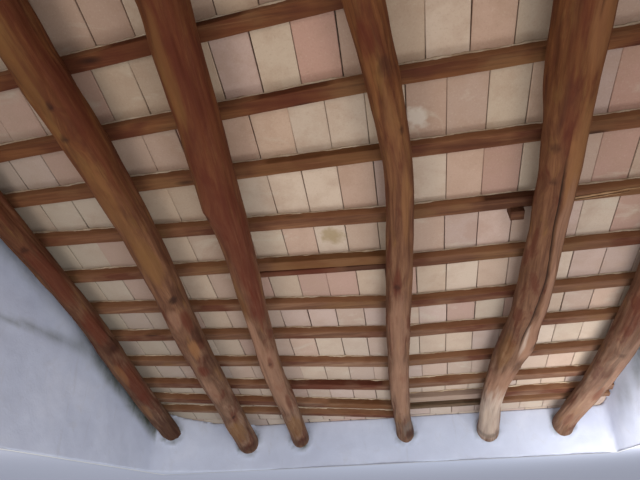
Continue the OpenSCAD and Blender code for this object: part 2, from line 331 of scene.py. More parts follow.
# The long split of the fifth log, as path, width and depth; the mesh's lengthwise lines follow it
logSplit = {5: ([(0.98, 262), (1.16, 260), (1.30, 270), (1.41, 276), (1.59, 281), (1.80, 274), (2.00, 271),
                 (2.20, 266), (2.36, 268)], 0.006, 0.014)}
woodTones = {"dark": (58, 31, 21), "red": (84, 36, 23), "olive": (118, 82, 46), "tan": (138, 95, 60),
             "pink": (152, 114, 92), "grey": (98, 86, 78), "bleached": (190, 171, 156), "moss": (62, 58, 42),
             "torn": (176, 140, 104), "sawn": (146, 122, 100), "paintedLitSide": (186, 134, 96)}
# Patches of another tone: metres up the slope, angle, half length, half width in degrees, tone, strength
logMarks = {
    # The first patch of the first log, dark along its whole length, is painted shade: that log lies in shade
    # against the left wall
    1: [(1.6, 300, 1.6, 110, "dark", 0.4), (2.6, 320, 0.5, 60, "red", 0.6),
        (1.85, 310, 0.24, 55, "red", 0.8), (1.44, 320, 0.16, 55, "red", 0.9),
        (1.26, 335, 0.07, 60, "dark", 0.8), (0.85, 325, 0.3, 50, "red", 0.9),
        (1.02, 285, 0.12, 24, "tan", 0.5), (0.6, 275, 0.1, 24, "tan", 0.4),
        (0.28, 325, 0.2, 80, "dark", 0.85), (0.02, 290, 0.07, 100, "dark", 0.8)],
    2: [(3.4, 280, 0.8, 100, "dark", 0.3), (3.1, 265, 0.5, 32, "olive", 0.6),
        (2.7, 325, 0.55, 30, "red", 0.7), (2.2, 270, 0.35, 28, "olive", 0.5),
        (1.92, 285, 0.16, 38, "olive", 0.7), (1.66, 322, 0.1, 26, "dark", 0.7),
        (1.52, 275, 0.09, 26, "pink", 0.5), (1.46, 318, 0.12, 26, "red", 0.8),
        (1.33, 330, 0.09, 30, "dark", 0.8), (1.25, 295, 0.09, 24, "tan", 0.8),
        (1.08, 325, 0.12, 30, "dark", 0.7), (1.04, 282, 0.06, 26, "red", 0.8),
        (0.82, 275, 0.15, 42, "pink", 0.5), (0.47, 306, 0.09, 22, "red", 0.7),
        (0.28, 280, 0.16, 60, "olive", 0.6), (0.02, 290, 0.06, 80, "dark", 0.7)],
    3: [(3.4, 280, 0.8, 100, "dark", 0.3), (2.5, 290, 0.95, 85, "red", 0.7),
        (2.75, 250, 0.25, 22, "olive", 0.5), (2.0, 305, 0.4, 50, "red", 0.6),
        (1.62, 305, 0.32, 42, "red", 0.9), (1.55, 235, 0.25, 26, "olive", 0.5),
        (1.22, 240, 0.28, 36, "pink", 0.7), (0.85, 285, 0.42, 75, "pink", 0.6),
        (1.02, 292, 0.07, 16, "red", 0.6), (0.58, 305, 0.1, 22, "red", 0.6),
        (0.25, 290, 0.16, 70, "olive", 0.5), (0.02, 290, 0.06, 80, "dark", 0.7)],
    4: [(2.77, 250, 0.08, 30, "red", 0.9), (2.66, 290, 0.03, 50, "dark", 0.5),
        (2.45, 275, 0.2, 30, "tan", 0.4), (2.05, 295, 0.22, 26, "tan", 0.6),
        (1.62, 256, 0.12, 20, "red", 0.8), (1.25, 268, 0.3, 60, "pink", 0.5),
        (0.65, 270, 0.4, 80, "pink", 0.6), (0.1, 310, 0.12, 60, "grey", 0.8),
        (0.04, 320, 0.07, 50, "dark", 0.8)],
    5: [(2.72, 250, 0.2, 22, "red", 0.6), (2.42, 262, 0.2, 24, "red", 0.5),
        (2.6, 236, 0.35, 14, "dark", 0.35), (2.2, 305, 0.3, 34, "tan", 0.8),
        (2.75, 300, 0.25, 30, "tan", 0.6), (1.85, 305, 0.3, 28, "pink", 0.6),
        (1.45, 306, 0.3, 24, "pink", 0.8), (1.1, 290, 0.2, 34, "pink", 0.8),
        (0.98, 215, 0.18, 36, "olive", 0.5), (1.12, 270, 0.13, 9, "bleached", 0.6),
        (0.62, 265, 0.26, 90, "pink", 0.7), (0.26, 260, 0.34, 120, "bleached", 0.7),
        (0.02, 270, 0.03, 90, "grey", 0.6)],
    6: [(1.3, 222, 0.3, 40, "red", 0.5), (0.8, 290, 0.34, 30, "pink", 0.7),
        (0.6, 225, 0.16, 30, "red", 0.5), (0.28, 250, 0.24, 80, "pink", 0.5),
        (0.6, 270, 0.6, 90, "grey", 0.35), (0.7, 245, 0.07, 22, "dark", 0.6),
        (0.46, 275, 0.09, 18, "red", 0.6), (1.05, 265, 0.1, 16, "dark", 0.5),
        (0.15, 235, 0.08, 22, "red", 0.5)],
}


def readRings(node):
    rings = {}
    for vertex in node.data.vertices:
        p = toSlope @ vertex.co
        rings.setdefault(round(-p.y, 3), []).append((p.x, p.z))
    stops = []
    for s in sorted(rings):
        points = sorted(set((round(x, 5), round(z, 5)) for x, z in rings[s]))
        centreX = (max(p[0] for p in points) + min(p[0] for p in points)) / 2
        radius = (max(p[0] for p in points) - min(p[0] for p in points)) / 2
        centreZ = -roof["battenDepth"] - radius + logs["sunk"]
        spokes = sorted((math.atan2(z - centreZ, x - centreX), math.hypot(x - centreX, z - centreZ))
                        for x, z in points)
        stops.append((s, centreX, centreZ, spokes))
    return stops


def spokeRadius(spokes, angle):
    count = len(spokes)
    for i in range(count):
        a0, r0 = spokes[i - 1]
        a1, r1 = spokes[i]
        if i == 0:
            a0 -= 2 * math.pi
            if angle > a1:
                continue
        if a0 <= angle <= a1:
            t = (angle - a0) / max(1e-6, a1 - a0)
            return r0 + (r1 - r0) * t * t * (3 - 2 * t)
    a0, r0 = spokes[-1]
    a1, r1 = spokes[0][0] + 2 * math.pi, spokes[0][1]
    t = (angle - a0) / max(1e-6, a1 - a0)
    return r0 + (r1 - r0) * t * t * (3 - 2 * t)


def curveThrough(a, b, c, d, t):
    return b + 0.5 * t * (c - a + t * (2 * a - 5 * b + 4 * c - d + t * (3 * (b - c) + d - a)))


def angleGap(a, b):
    return (a - b + 540.0) % 360.0 - 180.0


def bell(value):
    return math.exp(-value ** 2)


def onPath(path, s):
    for (s0, a0), (s1, a1) in zip(path, path[1:]):
        if s <= s1:
            return a0 + (a1 - a0) * max(0.0, (s - s0) / (s1 - s0))
    return path[-1][1]


def markColor(tone, strength):
    return (*shade(*woodTones[tone])[:3], strength)


def markedTone(s, degrees, number):
    # Red, green, blue and strength of a log's patches laid over one another at this place
    red, green, blue, strength = 0.0, 0.0, 0.0, 0.0
    for ms, ma, halfLength, halfWidth, tone, amount in logMarks[number]:
        ds, da = (s - ms) / halfLength, angleGap(degrees, ma) / halfWidth
        if abs(ds) > 1.5 or abs(da) > 1.5:
            continue
        ragged = 0.30 * wave(s * 7, degrees * 0.06, ms, number)
        ragged += 0.2 * wave(s * 2, degrees * 0.3, ma, number)
        share = amount * (1 - smoothStep(math.sqrt(ds * ds + da * da) + ragged, 0.55, 1.1))
        if share > 0:
            total = strength + share - strength * share
            other = [value * share / total for value in shade(*woodTones[tone])[:3]]
            kept = 1 - share / total
            red, green, blue = red * kept + other[0], green * kept + other[1], blue * kept + other[2]
            strength = total
    return red, green, blue, strength


def makeLog(number, material):
    stops = readRings(nodes["log_%d" % number])
    first, last = stops[0][0], stops[-1][0]
    around, along = logs["around"], logs["along"]
    angles = [-math.pi + 2 * math.pi * (j + 0.5) / around for j in range(around + 1)]
    splitPath, splitWidth, splitDepth = logSplit.get(number, (None, 0, 0))
    if splitPath:
        middle = sum(a for _, a in splitPath) / len(splitPath)
        splitColumn = min(range(around + 1), key=lambda j: abs(angleGap(math.degrees(angles[j]), middle)))
        splitAngle = math.degrees(angles[splitColumn])
    path, depth = logCracks[number]
    s0, s1 = path[0][0], path[-1][0]
    bm = bmesh.new()
    bmesh.ops.create_grid(bm, x_segments=around, y_segments=along, size=0.5)
    grain = bm.verts.layers.float_vector.new("grain")
    knotLayer = bm.verts.layers.float.new("knot")
    crackShadeLayer = bm.verts.layers.float.new("crackShade")
    markLayer = bm.verts.layers.float_color.new("mark")
    index = 0
    for vertex in bm.verts:
        column = int(round((vertex.co.x + 0.5) * around))
        share = vertex.co.y + 0.5
        s = first + (last - first) * share
        while index < len(stops) - 2 and s > stops[index + 1][0]:
            index += 1
        while index > 0 and s < stops[index][0]:
            index -= 1
        i0, i3 = max(0, index - 1), min(len(stops) - 1, index + 2)
        t = (s - stops[index][0]) / (stops[index + 1][0] - stops[index][0])
        if index == 0 or index == len(stops) - 2:
            i0, i3 = index, index + 1
        four = (i0, index, index + 1, i3)
        cx = curveThrough(*[stops[i][1] for i in four], t)
        cz = curveThrough(*[stops[i][2] for i in four], t)
        angle = angles[column]
        if splitPath:
            toSplit = onPath(splitPath, s) + 2 * wave(0, s * 20, 0, number)
            away = abs(angleGap(math.degrees(angle), splitAngle))
            angle += math.radians(angleGap(toSplit, splitAngle)) * (1 - smoothStep(away, 8, 75))
        turned = (angle + math.pi) % (2 * math.pi) - math.pi
        r = curveThrough(*[spokeRadius(stops[i][3], turned) for i in four], t)
        degrees = math.degrees(angle) % 360.0
        ca, sa = math.cos(angle), math.sin(angle)
        gx, gz = ca * 0.09, sa * 0.09
        # Shallow fissures along the grain, twisting a little
        twist = angle + s * 0.25
        tx, tz = math.cos(twist), math.sin(twist)
        ridge = wave(tx * 3.4, tz * 3.4, s * 0.9, number)
        fissure = smoothStep(1 - abs(ridge) * 7, 0.0, 1.0)
        fine = wave(tx * 9, tz * 9, s * 2.4, number + 3)
        relief = -logs["fissureDepth"] * fissure - logs["waviness"] * (0.6 + fine)
        relief -= 0.004 * (0.5 + wave(ca * 2, sa * 2, s * 6, number + 7))
        relief -= logs["dents"] * smoothStep(wave(ca * 1.3, sa * 1.3, s * 3.2, number + 13), 0.0, 0.6)
        dark = 0.0
        for ks, ka, kr, kh, kd in logKnots[number]:
            da = math.radians(angleGap(degrees, ka)) * r
            ds = s - ks
            if abs(ds) > 0.3 or abs(da) > 0.2:
                continue
            d = math.hypot(ds, da)
            relief += kh * 0.7 * bell(d / (kr * 1.6)) - kh * 0.9 * bell(d / (kr * 0.55))
            dark = max(dark, kd * (1 - smoothStep(d, kr * 0.45, kr * 0.95)))
            bend = math.copysign(1, da) * 0.02 * bell((abs(da) - kr) / (kr * 1.2))
            gx += -sa * bend * bell(ds / (kr * 2.6))
            gz += ca * bend * bell(ds / (kr * 2.6))
        # split is painted shade: it darkens the wood inside the drying crack and the long split
        split = 0.0
        if s0 - 0.05 < s < s1 + 0.05:
            u = (s - s0) / (s1 - s0)
            centre = onPath(path, s) + 6 * wave(0, s * 5, 0, number + 11) + 2.5 * wave(0, s * 22, 0, number)
            taper = smoothStep(u, -0.02, 0.25) * (1 - smoothStep(u, 0.75, 1.02))
            da = abs(math.radians(angleGap(degrees, centre)) * r)
            half = logs["crackWidth"] * (0.35 + 0.65 * taper)
            inside = (1 - smoothStep(da, half * 0.4, half)) * taper
            relief -= depth * inside
            split = max(split, 0.7 * (1 - smoothStep(da, half * 0.5, half * 1.15)) * taper)
        if splitPath and splitPath[0][0] < s < splitPath[-1][0] and abs(column - splitColumn) < 2:
            u = (s - splitPath[0][0]) / (splitPath[-1][0] - splitPath[0][0])
            taper = smoothStep(u, 0.0, 0.12) * (1 - smoothStep(u, 0.8, 1.0))
            if column == splitColumn:
                relief -= splitDepth * taper
                split = 0.95 * taper
            else:
                # The columns beside the split stand close to it, so that it stays a thin line
                beside = math.copysign(splitWidth * (0.5 + taper) / r, column - splitColumn)
                angle = math.radians(toSplit) + beside
        ca, sa = math.cos(angle), math.sin(angle)
        builtIn = smoothStep(s, -0.02, 0.10) * (1 - smoothStep(s, clearLength - 0.2, clearLength - 0.08))
        r = r + relief * (0.25 + 0.75 * builtIn)
        x, z = cx + r * ca, min(-roof["battenDepth"] - 0.0004, cz + r * sa)
        vertex[grain] = (gx, gz, s)
        vertex[knotLayer] = dark
        vertex[crackShadeLayer] = split
        vertex[markLayer] = markColor("sawn", 0.8) if s > last - 0.02 else markedTone(s, degrees, number)
        vertex.co = (x, -s, z)
    bmesh.ops.remove_doubles(bm, verts=bm.verts, dist=1e-5)
    bmesh.ops.holes_fill(bm, edges=openEdges(bm), sides=0)
    faceOutward(bm)
    turnBy(bm, slopeFrame)
    smoothFaces(bm)
    addPiece("log%d" % number, bm, material, ["log_%d" % number])


def woodColor(tree, near, coarse, places, pale, dark):
    # One ramp over the coarse grain in two sets of tones: pale near the low wall, dark up the slope
    ramps = [colorRamp(tree, coarse, list(zip(places, tones))) for tones in (pale, dark)]
    return blendColor(tree, near, *ramps)


def layMarks(tree, color, streaks, grain, amount):
    # The patches of another tone, with some of the wood's own grain in them
    own = remap(tree, streaks, 0.35, 0.65, grain, 0.0)
    return blendColor(tree, amount, color, blendColor(tree, own, attribute(tree, "mark", "Color"), color))


def woodHeight(tree, streaks, fibres):
    return addShare(tree, calculate(tree, "MULTIPLY", streaks, 0.6), fibres, 0.4)


def logMaterial():
    material, tree, shader = newMaterial("logWood", 0.75, 0.1)
    grain = attribute(tree, "grain", "Vector")
    streaks = noiseValue(tree, mapped(tree, grain, (80, 80, 7)), 1.0, 5, 0.65)
    coarse = noiseValue(tree, mapped(tree, grain, (24, 24, 4)), 1.0, 5, 0.6, 0.6)
    patches = noiseValue(tree, mapped(tree, grain, (11, 11, 4.5)), 1.0, 4, 0.6, 0.3)
    fibres = noiseValue(tree, mapped(tree, grain, (260, 260, 9)), 1.0, 3, 0.7)
    near = remap(tree, coordinate(tree, grain, "Z"), 0.5, 2.6)
    color = woodColor(tree, near, coarse, (0.28, 0.42, 0.56, 0.74),
                      ((84, 60, 46), (104, 77, 61), (120, 92, 75), (140, 112, 93)),
                      ((76, 42, 24), (94, 54, 31), (108, 65, 37), (126, 82, 47)))
    color = layTones(tree, color, [
        (patches, 0.52, 0.62, 0.65, (82, 38, 25)), (patches, 0.44, 0.32, 0.6, (122, 86, 49)),
        (streaks, 0.52, 0.70, 0.4, (56, 28, 18)), (streaks, 0.42, 0.30, 0.25, (150, 104, 66)),
        (fibres, 0.4, 0.7, 0.25, (66, 36, 24))])
    uneven = remap(tree, coarse, 0.3, 0.6, 0.9, 1.0)
    amount = calculate(tree, "MULTIPLY", attribute(tree, "mark", "Alpha"), uneven)
    color = layMarks(tree, color, streaks, 0.3, amount)
    knot = calculate(tree, "MULTIPLY", attribute(tree, "knot"), 0.85)
    color = blendColor(tree, knot, color, shade(44, 24, 18))
    # Painted shade inside the cracks and the split
    color = blendColor(tree, attribute(tree, "crackShade"), color, shade(34, 20, 14))
    paint(tree, shader, color, woodHeight(tree, streaks, fibres), 0.6, 0.003)
    feed(tree, shader, {"Roughness": remap(tree, coarse, 0.3, 0.7, 0.65, 0.85)})
    return material


logWood = logMaterial()
for number in range(1, 7):
    makeLog(number, logWood)
print("logs done")


# Torn fibres: from and to as (metres across, metres up the slope), width
battens = {"cutEvery": 0.035, "round": 0.0035, "wear": 0.0022, "litSideShare": 0.4,
           "bead": {"every": 0.012, "width": 0.008, "drop": 0.009},
           "fibres": [((0.97, 1.908), (1.29, 1.937), 0.016), ((1.00, 1.899), (1.22, 1.916), 0.008)]}
# Lengths of another tone: batten, which of its pieces from the left, from, to (metres across), tone, strength
battenMarks = [
    (1, 1, 0.24, 0.80, "moss", 0.7), (2, 1, 0.24, 0.80, "bleached", 0.5), (2, 0, -0.30, 0.14, "olive", 0.5),
    (3, 0, -0.50, 0.12, "red", 0.5), (7, 0, -0.36, 0.30, "olive", 0.6), (7, 1, -0.50, -0.05, "red", 0.7),
    (7, 1, -0.02, 0.40, "dark", 0.8), (8, 1, 0.62, 0.85, "dark", 0.75), (9, 0, -0.30, 0.30, "olive", 0.4),
    (11, 0, -0.70, -0.20, "red", 0.5), (10, 0, -0.25, 0.05, "red", 0.5), (12, 1, 0.30, 0.60, "olive", 0.5),
]


def cadCopy(name):
    bm = bmesh.new()
    bm.from_mesh(nodes[name].data)
    bmesh.ops.remove_doubles(bm, verts=bm.verts, dist=1e-5)
    bmesh.ops.dissolve_limit(bm, angle_limit=0.002, verts=bm.verts, edges=bm.edges)
    return bm


def looseParts(bm):
    # The separate lengths of a batten, as lists of vertices
    left, parts = set(bm.verts), []
    while left:
        stack, part = [left.pop()], []
        while stack:
            vertex = stack.pop()
            part.append(vertex)
            for edge in vertex.link_edges:
                other = edge.other_vert(vertex)
                if other in left:
                    left.discard(other)
                    stack.append(other)
        parts.append(part)
    return parts


def makeBatten(name, material):
    bm = cadCopy(name)
    turnBy(bm, toSlope)
    low = min(v.co.x for v in bm.verts)
    high = max(v.co.x for v in bm.verts)
    roundEdges(bm, battens["round"])
    cuts = int((high - low) / battens["cutEvery"])
    for i in range(1, cuts):
        cutPlane(bm, (low + (high - low) * i / cuts, 0, 0), (1, 0, 0))
    wide = [f for f in bm.faces if f.calc_area() > 0.0009]
    edges = set(e for f in wide for e in f.edges if abs((e.verts[0].co - e.verts[1].co).x) < 0.002)
    bmesh.ops.subdivide_edges(bm, edges=list(edges), cuts=2, use_grid_fill=True)
    number = int(name.split("_")[-1])
    seed = number * 1.7
    layer = bm.verts.layers.float_color.new("mark")
    for v in bm.verts:
        v[layer] = (0, 0, 0, 0)
    parts = sorted(looseParts(bm), key=lambda part: sum(v.co.x for v in part) / len(part))
    for _, index, start, end, tone, amount in [m for m in battenMarks if m[0] == number]:
        for v in parts[index]:
            begun = smoothStep(v.co.x, start - 0.05, start + 0.03)
            share = amount * begun * (1 - smoothStep(v.co.x, end - 0.03, end + 0.05))
            if share > v[layer][3]:
                v[layer] = markColor(tone, share)
    # Painted light: the up-slope sides are painted paler than the undersides, as if lit from up the slope
    bm.normal_update()
    for v in bm.verts:
        share = battens["litSideShare"] * smoothStep(-v.normal.y, 0.5, 0.9)
        if share > v[layer][3]:
            v[layer] = markColor("paintedLitSide", share)
    for v in bm.verts:
        x, y, z = v.co
        under = smoothStep(-z, 0.0, 0.03)
        worn = battens["wear"] * (0.6 + wave(x * 4, y * 30, z * 30, seed))
        v.co.y += 0.0016 * wave(x * 2.2, 0, 0, seed) + 0.0009 * wave(x * 14, y * 40, z * 40, seed + 2)
        v.co.z += under * worn + 0.001 * under * wave(x * 11, y * 50, 0, seed + 4)
    faceOutward(bm)
    turnBy(bm, slopeFrame)
    smoothFaces(bm)
    addPiece(name.replace("batten_", "batten"), bm, material, [name])


def battenMaterial():
    material, tree, shader = newMaterial("battenWood", 0.75, 0.1)
    turn = (math.radians(18), 0, 0)
    streaks = noiseValue(tree, objectPoint(tree, (3.5, 120, 120), turn), 1.0, 5, 0.65)
    coarse = noiseValue(tree, objectPoint(tree, (1.6, 26, 26), turn), 1.0, 4, 0.6, 0.5)
    patches = noiseValue(tree, objectPoint(tree, (2.6, 5, 5), turn), 1.0, 3, 0.6)
    fibres = noiseValue(tree, objectPoint(tree, (16, 420, 420), turn), 1.0, 3, 0.7)
    spots = {"Vector": objectPoint(tree, (2.6, 9, 9), turn), "Scale": 1.0, "Randomness": 1.0}
    knots = addNode(tree, "ShaderNodeTexVoronoi", spots).outputs["Distance"]
    near = remap(tree, coordinate(tree, objectPoint(tree), "Y"), 1.7, -0.4)
    color = woodColor(tree, near, coarse, (0.28, 0.44, 0.60, 0.76),
                      ((92, 65, 50), (112, 83, 66), (126, 96, 78), (144, 116, 95)),
                      ((82, 46, 27), (100, 60, 36), (114, 71, 43), (132, 88, 55)))
    color = layTones(tree, color, [
        (patches, 0.5, 0.62, 0.8, (84, 42, 29)), (patches, 0.44, 0.34, 0.6, (118, 84, 54)),
        (streaks, 0.52, 0.70, 0.4, (60, 34, 24)), (streaks, 0.42, 0.30, 0.3, (156, 112, 76)),
        (fibres, 0.45, 0.7, 0.25, (72, 42, 30)), (knots, 0.16, 0.06, 0.8, (40, 22, 16))])
    color = layMarks(tree, color, streaks, 0.45, attribute(tree, "mark", "Alpha"))
    paint(tree, shader, color, woodHeight(tree, streaks, fibres), 0.6, 0.003)
    return material


battenWood = battenMaterial()
battenNames = ["batten_%02d" % i for i in range(1, 17)]
for name in battenNames:
    makeBatten(name, battenWood)


def addBead(bm, start, end, side, seed):
    # Ragged mortar in the corner between a batten's side and the bricks; side is +1 on the up-slope side
    beads = battens["bead"]
    count = max(2, int((end[0] - start[0]) / beads["every"]))
    rows = []
    for i in range(count + 1):
        t = i / count
        x, s = start[0] + (end[0] - start[0]) * t, start[1] + (end[1] - start[1]) * t
        rough = 0.5 + wave(x * 9, 0, 0, seed) + 0.6 * wave(x * 45, 0, 0, seed + 1)
        width = max(0.0008, beads["width"] * rough)
        sag = 0.5 + wave(x * 12, 4, 0, seed) + 0.7 * wave(x * 50, 2, 0, seed + 2)
        drop = max(0.0006, beads["drop"] * sag)
        corners = ((-0.002, 0.0012), (width, 0.0012), (width * 0.45, -drop * 0.55), (-0.002, -drop))
        rows.append([bm.verts.new(slopeFrame @ Vector((x, -(s + side * a), z))) for a, z in corners])
    skinRows(bm, rows)


def makeBeads(material):
    bm = bmesh.new()
    for index, name in enumerate(battenNames):
        copy = cadCopy(name)
        turnBy(copy, toSlope)
        for part in looseParts(copy):
            top = sorted([(v.co.x, -v.co.y) for v in part if v.co.z > -0.002])
            for side, pick in ((1, max), (-1, min)):
                start = (top[0][0], pick(top[0][1], top[1][1]))
                end = (top[-1][0], pick(top[-1][1], top[-2][1]))
                addBead(bm, start, end, side, index * 3.1 + side)
        copy.free()
    faceOutward(bm)
    smoothFaces(bm)
    addPiece("mortarBeads", bm, material)


def makeFibres(material):
    # Torn strips along the underside of a batten
    count = 24
    z = -roof["battenDepth"] - 0.0008
    bm = bmesh.new()
    for (x0, s0), (x1, s1), width in battens["fibres"]:
        rows = []
        for i in range(count + 1):
            t = i / count
            x, s = x0 + (x1 - x0) * t, s0 + (s1 - s0) * t + 0.003 * wave(t * 9, 0, 0, x0)
            swell = 0.25 + 0.75 * math.sin(math.pi * min(1.0, 0.08 + t))
            half = width / 2 * swell * (0.8 + 0.5 * wave(t * 14, 3, 0, x1))
            rows.append([bm.verts.new(slopeFrame @ Vector((x, -(s + a * half), z - drop)))
                         for a, drop in ((-1, -0.001), (-0.4, 0.0022), (0.5, 0.0016), (1, -0.001))])
        skinRows(bm, rows)
    layer = bm.verts.layers.float_color.new("mark")
    for v in bm.verts:
        v[layer] = markColor("torn", 0.9)
    faceOutward(bm)
    smoothFaces(bm)
    addPiece("tornFibres", bm, material)


def beadMaterial():
    material, tree, shader = newMaterial("limeBead", 0.95, 0.1)
    point = objectPoint(tree)
    cloud = noiseValue(tree, point, 12, 4, 0.6)
    grit = noiseValue(tree, point, 150, 3, 0.7)
    color = colorRamp(tree, cloud, [(0.35, (168, 142, 116)), (0.65, (204, 186, 162))])
    color = layTones(tree, color, [(grit, 0.55, 0.75, 0.4, (120, 98, 80))])
    paint(tree, shader, color, grit, 0.5, 0.002)
    return material


def makePackingBlock():
    bm = cadCopy("packing_block")
    roundEdges(bm, 0.003)
    bmesh.ops.subdivide_edges(bm, edges=bm.edges[:], cuts=2, use_grid_fill=True)
    layer = bm.verts.layers.float_color.new("mark")
    for v in bm.verts:
        v.co += v.normal * (-0.0012 + 0.0012 * wave(v.co.x * 60, v.co.y * 60, v.co.z * 60, 5))
        v[layer] = markColor("dark", 0.7)
    smoothFaces(bm)
    addPiece("packingBlock", bm, battenWood, ["packing_block"])


makePackingBlock()
makeBeads(beadMaterial())
makeFibres(battenWood)
print("battens done")


# rowStart is where one joint of a course lies across the room, unitBevel is cut on a cube of size 1, and a
# stain is metres across, metres up the slope, reach, tone and strength
bricks = {"width": 0.150, "length": 0.30, "jitter": 0.002, "edge": 0.0022, "chip": 0.0007,
          "unevenness": 0.002, "unitBevel": 0.012,
          "joints": [0.0012, 0.002, 0.003, 0.004, 0.0055],
          "rowStart": {2: 0.483, 3: 0.492, 4: 0.484, 5: 0.486, 6: 0.481, 7: 0.466, 8: 0.473, 9: 0.468,
                       10: 0.396},
          "stains": [(0.37, 2.36, 0.05, (206, 192, 176), 0.7), (-0.05, 1.79, 0.05, (140, 118, 74), 0.6),
                     (0.62, 1.75, 0.07, (150, 112, 90), 0.25)]}
brickTones = [(187, 165, 143), (182, 157, 134), (180, 149, 129), (176, 138, 121), (178, 151, 138),
              (190, 168, 148), (179, 151, 130), (175, 147, 129)]


def courseLines(name):
    # The course's low and high edges, read from the outline of its underside
    bm = cadCopy(name)
    turnBy(bm, toSlope)
    bm.normal_update()
    under = max((f for f in bm.faces if f.normal.z < -0.9), key=lambda f: f.calc_area())
    loop = [(v.co.x, -v.co.y) for v in under.verts]
    bm.free()
    left, right = min(p[0] for p in loop), max(p[0] for p in loop)
    starts = sorted((p[1], i) for i, p in enumerate(loop) if p[0] < left + 0.001)
    lines = []
    for (_, start), (_, other) in ((starts[0], starts[-1]), (starts[-1], starts[0])):
        step = -1 if (start + 1) % len(loop) == other else 1
        i, line = start, [loop[start]]
        while line[-1][0] < right - 0.001:
            i = (i + step) % len(loop)
            line.append(loop[i])
        lines.append(line)
    return lines


def lineAt(line, x):
    for (x0, s0), (x1, s1) in zip(line, line[1:]):
        if x <= x1 + 1e-6:
            return s0 + (s1 - s0) * (x - x0) / max(1e-6, x1 - x0)
    return line[-1][1]


def squeeze(value, edge):
    # Brings the unit cube's bevel back to a few millimetres
    if value < 0.02:
        return value / bricks["unitBevel"] * edge
    if value > 0.98:
        return 1 - (1 - value) / bricks["unitBevel"] * edge
    return value


def addBrick(bm, corners, thickness, tone, rng):
    part = bmesh.new()
    bmesh.ops.create_cube(part, size=1)
    roundEdges(part, bricks["unitBevel"], 1)
    toneLayer = part.verts.layers.float_color.new("brickTone")
    lengthX = (corners[1] - corners[0]).length
    lengthY = (corners[3] - corners[0]).length
    lift = rng.uniform(0, bricks["unevenness"])
    lean = rng.uniform(-bricks["unevenness"], bricks["unevenness"]) / 2
    chip = bricks["chip"]
    for v in part.verts:
        u = squeeze(v.co.x + 0.5, bricks["edge"] / lengthX)
        w = squeeze(v.co.y + 0.5, bricks["edge"] / lengthY)
        h = squeeze(v.co.z + 0.5, bricks["edge"] / thickness)
        base = corners[0].lerp(corners[1], u).lerp(corners[3].lerp(corners[2], u), w)
        low = max(0.0, lift + lean * (w - 0.5) * 2 + rng.uniform(-chip, chip) * 0.4)
        v.co = (base.x + rng.uniform(-chip, chip), base.y + rng.uniform(-chip, chip),
                low + h * (thickness - low))
        v[toneLayer] = tone
    joinInto(bm, part)


def makeBricks(material):
    rng = random.Random(41)
    bm = bmesh.new()
    bm.verts.layers.float_color.new("brickTone")
    names = ["brick_course_%02d" % i for i in range(1, 17)]
    thickness, width = roof["brickThickness"], bricks["width"]
    count = 0
    for row, name in enumerate(names, 1):
        lows, highs = courseLines(name)
        lowX, highX = lows[0][0], lows[-1][0]
        depth = lineAt(highs, 0.9) - lineAt(lows, 0.9)
        bands = max(1, int(round(depth / bricks["length"])))
        for band in range(bands):
            if band == 0:
                phase = bricks["rowStart"].get(row, 0.47 + rng.uniform(-0.05, 0.05))
            else:
                phase = rng.uniform(0.4, 0.54)
            joints = [phase + width * i + rng.uniform(-0.003, 0.003) for i in range(-18, 12)]
            joints = [lowX] + [x for x in joints if lowX + 0.04 < x < highX - 0.04] + [highX]
            for left, right in zip(joints, joints[1:]):
                gap = rng.choice(bricks["joints"]) / 2
                x0 = left + (gap if left > lowX else 0.001)
                x1 = right - (gap if right < highX else 0.001)
                inner = lowX < left and right < highX
                lean = rng.uniform(-bricks["jitter"], bricks["jitter"]) if inner else 0
                tuck0, tuck1 = rng.uniform(0.001, 0.003), rng.uniform(0.001, 0.003)
                corners = []
                for x, far in ((x0, 0), (x1, 0), (x1, 1), (x0, 1)):
                    s0, s1 = lineAt(lows, x), lineAt(highs, x)
                    s = s0 + (s1 - s0) * (band + far) / bands + (-tuck1 if far else tuck0)
                    corners.append(Vector((x + lean * far, -s, 0)))
                tone = rng.choice(brickTones)
                value = rng.uniform(0.94, 1.04)
                addBrick(bm, corners, thickness, shade(*[min(255, c * value) for c in tone]), rng)
                count += 1
    faceOutward(bm)
    turnBy(bm, slopeFrame)
    addPiece("ceilingBricks", bm, material, names)
    print("bricks laid:", count)


def stainAt(tree, x, s, reach, wobble):
    # 1 in the middle of a stain at a place on the brick underside, fading to 0 at its ragged edge
    inputs = {0: objectPoint(tree), 1: slopeFrame @ Vector((x, -s, 0))}
    away = addNode(tree, "ShaderNodeVectorMath", inputs, operation="DISTANCE").outputs["Value"]
    ragged = calculate(tree, "ADD", away, remap(tree, wobble, 0.3, 0.7, -reach * 0.6, reach * 0.6))
    return remap(tree, ragged, reach, reach * 0.5)


def brickMaterial():
    material, tree, shader = newMaterial("ceilingBrick", 0.85, 0.2)
    point = objectPoint(tree)
    cloud = noiseValue(tree, point, 9, 4, 0.6)
    grains = noiseValue(tree, point, 140, 3, 0.6)
    smear = noiseValue(tree, objectPoint(tree, (3, 5, 5)), 1.0, 4, 0.65, 1.2)
    # The last tone, darker towards the left wall, is painted shade
    color = layTones(tree, attribute(tree, "brickTone", "Color"), [
        (cloud, 0.44, 0.68, 0.4, (160, 128, 105)), (smear, 0.58, 0.74, 0.6, (192, 178, 158)),
        (grains, 0.56, 0.76, 0.25, (132, 102, 82)), (grains, 0.42, 0.28, 0.25, (200, 184, 160)),
        (coordinate(tree, point, "Y"), -0.2, 1.8, 0.38, (182, 170, 164)),
        (coordinate(tree, point, "X"), -0.6, -1.4, 0.5, (148, 140, 126))])
    for x, s, reach, tone, amount in bricks["stains"]:
        spot = calculate(tree, "MULTIPLY", stainAt(tree, x, s, reach, cloud), amount)
        color = blendColor(tree, spot, color, shade(*tone))
    paint(tree, shader, color, addShare(tree, cloud, grains, 0.5), 0.5, 0.004)
    return material


makeBricks(brickMaterial())
print("bricks done")
